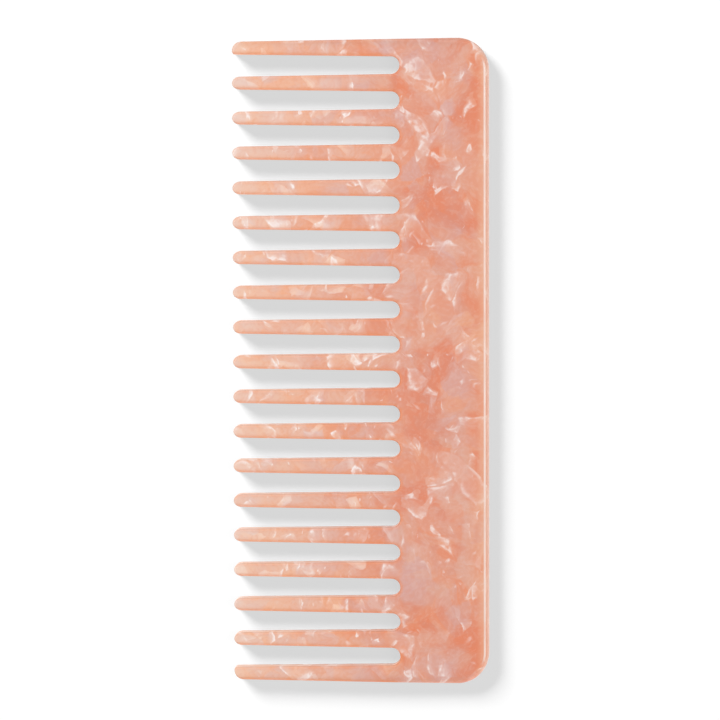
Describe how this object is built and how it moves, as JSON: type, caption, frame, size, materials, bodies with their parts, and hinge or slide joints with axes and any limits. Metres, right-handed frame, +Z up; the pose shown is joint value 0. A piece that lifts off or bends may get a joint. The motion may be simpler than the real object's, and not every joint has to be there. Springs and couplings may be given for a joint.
{
  "type": "wide tooth comb",
  "caption": "Flat wide tooth hair comb with a straight back, rounded corners and a row of long tapered round-tipped teeth, cut from pearl-effect acetate sheet.",
  "frame": {"origin": "under the middle of the comb's outline, on the plane that its under face lies on", "axes": "+X from the tooth tips to the back, +Y along the row of teeth, +Z up out of the upper face"},
  "size_m": [0.0654, 0.1648, 0.0045],
  "materials": {
    "acetate": "polished pearl-effect coral cellulose acetate sheet with pale flakes in it"
  },
  "bodies": {
    "root": {"back": "acetate", "tooth_01": "acetate", "tooth_02": "acetate", "tooth_03": "acetate", "tooth_04": "acetate", "tooth_05": "acetate", "tooth_06": "acetate", "tooth_07": "acetate", "tooth_08": "acetate", "tooth_09": "acetate", "tooth_10": "acetate", "tooth_11": "acetate", "tooth_12": "acetate", "tooth_13": "acetate", "tooth_14": "acetate", "tooth_15": "acetate", "tooth_16": "acetate", "tooth_17": "acetate", "tooth_18": "acetate", "tooth_19": "acetate"}
  },
  "joints": []
}
